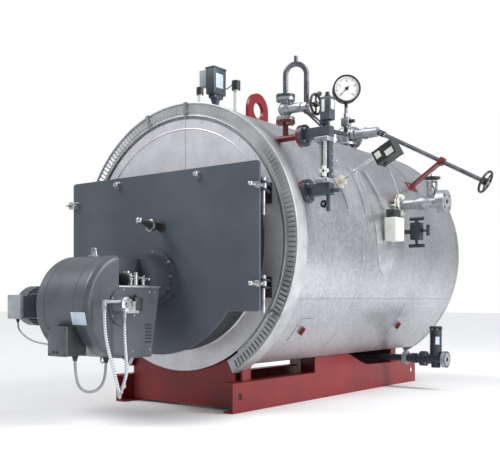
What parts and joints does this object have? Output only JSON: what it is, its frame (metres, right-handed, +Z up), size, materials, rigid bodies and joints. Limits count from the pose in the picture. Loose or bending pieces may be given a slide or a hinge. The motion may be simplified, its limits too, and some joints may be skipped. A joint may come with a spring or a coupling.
{
  "type": "industrial boiler",
  "caption": "Horizontal fire-tube steam boiler on a steel skid, with a hinged burner door, valves and gauges.",
  "frame": {"origin": "on the floor at the centre of the four anchor holes in the skid", "axes": "+X to the fittings side, +Y from the burner door to the rear flue, +Z up"},
  "size_m": [1.999, 3.1273, 1.9713],
  "materials": {
    "red_paint": "satin",
    "dark_paint": "satin",
    "burner_paint": "satin",
    "cladding_sheet": "satin",
    "galvanised_sheet": "satin",
    "bare_steel": "satin",
    "cast_silver": "matte",
    "dark_fitting": "matte",
    "dark_red_paint": "satin",
    "black_plastic": "matte",
    "cream_plastic": "matte",
    "hose_braid": "matte",
    "grey_cable": "matte",
    "insulation": "matte"
  },
  "bodies": {
    "boiler": {"skid_frame": "red_paint", "vessel_shell": "bare_steel", "tube_plates": "bare_steel", "furnace_tube": "bare_steel", "fire_tubes": "bare_steel", "cladding": "cladding_sheet", "front_ring": "galvanised_sheet", "front_end_plate": "galvanised_sheet", "front_drum": "dark_paint", "rear_cover": "galvanised_sheet", "flue_spigot": "dark_paint", "rear_hatch": "dark_paint", "hinge_brackets": "dark_paint", "hinge_pins": "bare_steel", "lifting_eye": "red_paint", "top_controller": "dark_fitting", "top_probes": "cream_plastic", "steam_valve": "cast_silver", "spindle_bracket": "dark_red_paint", "gauge_pipe": "dark_red_paint", "isolating_valve": "cast_silver", "siphon_pipe": "dark_fitting", "pressure_manifold": "dark_fitting", "level_gauge": "dark_fitting", "gauge_foot": "dark_fitting", "dial_gauge": "black_plastic", "level_probe": "black_plastic", "probe_cable": "grey_cable", "feed_valve": "cast_silver", "sample_valve": "dark_paint", "water_box": "cream_plastic", "blowdown_valve": "cast_silver"},
    "door": {"hinge_eyes": "bare_steel", "door_plate": "dark_paint", "door_lining": "insulation", "blast_tube": "bare_steel", "door_nuts": "bare_steel", "sight_glass": "bare_steel", "burner_flange": "burner_paint", "burner_housing": "burner_paint", "burner_head": "burner_paint", "burner_motor": "burner_paint", "control_box": "black_plastic", "oil_pump": "dark_fitting", "burner_linkage": "bare_steel", "burner_eye": "bare_steel", "oil_hose_a": "hose_braid", "oil_hose_b": "hose_braid", "hose_nuts": "bare_steel", "conduit_loop": "grey_cable", "motor_cable": "grey_cable"},
    "main_steam_spindle": {"steam_spindle": "bare_steel", "steam_wheel": "black_plastic"},
    "isolating_handwheel": {"isolating_wheel": "black_plastic"},
    "feed_handwheel": {"feed_wheel": "black_plastic"}
  },
  "joints": [
    {"name": "door_hinge", "type": "hinge", "parent": "boiler", "child": "door", "pos_m": [0.683, -1.1765, 0.9255], "axis": [0, 0, 1], "range_deg": [0, 110]},
    {"name": "steam_spindle_turn", "type": "hinge", "parent": "boiler", "child": "main_steam_spindle", "pos_m": [1.164, 0.5815, 1.344], "axis": [0.8743, 0, -0.4854], "range_deg": [0, 1710]},
    {"name": "isolating_wheel_turn", "type": "hinge", "parent": "boiler", "child": "isolating_handwheel", "pos_m": [0.811, -0.8885, 1.6113], "axis": [1, 0, 0], "range_deg": [0, 1395]},
    {"name": "feed_wheel_turn", "type": "hinge", "parent": "boiler", "child": "feed_handwheel", "pos_m": [0.983, 0.1615, 1.338], "axis": [0, 0, 1], "range_deg": [0, 1395]}
  ]
}
